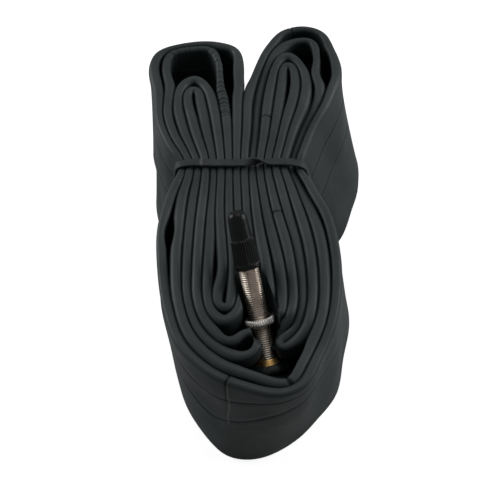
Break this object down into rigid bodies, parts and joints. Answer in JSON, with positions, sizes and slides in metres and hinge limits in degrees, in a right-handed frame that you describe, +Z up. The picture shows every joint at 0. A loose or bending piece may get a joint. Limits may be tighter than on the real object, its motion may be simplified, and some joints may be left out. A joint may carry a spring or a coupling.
{
  "type": "bicycle inner tube",
  "caption": "Flat bicycle inner tube folded into a bundle on its edge, held by a rubber band, with a capped threaded valve standing up from one fold.",
  "frame": {"origin": "on the floor under the middle of the bundle's box", "axes": "+Z up along the tube's flat width; +Y along the bundle from the valve end to the two upper loops; +X to the right, seen from the valve end"},
  "size_m": [0.0791, 0.1387, 0.0662],
  "materials": {
    "tube_rubber": "satin, dusted with talc",
    "patch_rubber": "satin",
    "seal_rubber": "satin",
    "band_rubber": "matte",
    "brass": "turned",
    "nickel": "nickel plate over brass",
    "bright_nickel": "nickel plate, knurled",
    "cap_plastic": "moulded, slightly glossy"
  },
  "bodies": {
    "tube": {"tube_body": "tube_rubber", "valve_patch": "patch_rubber", "valve_base": "brass", "valve_stem": "nickel", "core_body": "brass", "core_seal": "seal_rubber", "rubber_band": "band_rubber"},
    "ring": {"lock_ring": "bright_nickel"},
    "pin": {"core_pin": "brass", "pin_seal": "seal_rubber"},
    "nut": {"tip_nut": "brass"},
    "cap": {"dust_cap": "cap_plastic"}
  },
  "joints": [
    {"name": "lock_ring_travel", "type": "slide", "parent": "tube", "child": "ring", "axis": [-0.2103, 0.6879, 0.6947], "range_m": [-0.0095, 0.014]},
    {"name": "pin_press", "type": "slide", "parent": "tube", "child": "pin", "axis": [-0.2103, 0.6879, 0.6947], "range_m": [-0.0012, 0]},
    {"name": "tip_nut_unscrew", "type": "slide", "parent": "pin", "child": "nut", "axis": [-0.2103, 0.6879, 0.6947], "range_m": [0, 0.002]},
    {"name": "cap_pull", "type": "slide", "parent": "tube", "child": "cap", "axis": [-0.2103, 0.6879, 0.6947], "range_m": [0, 0.018]}
  ]
}
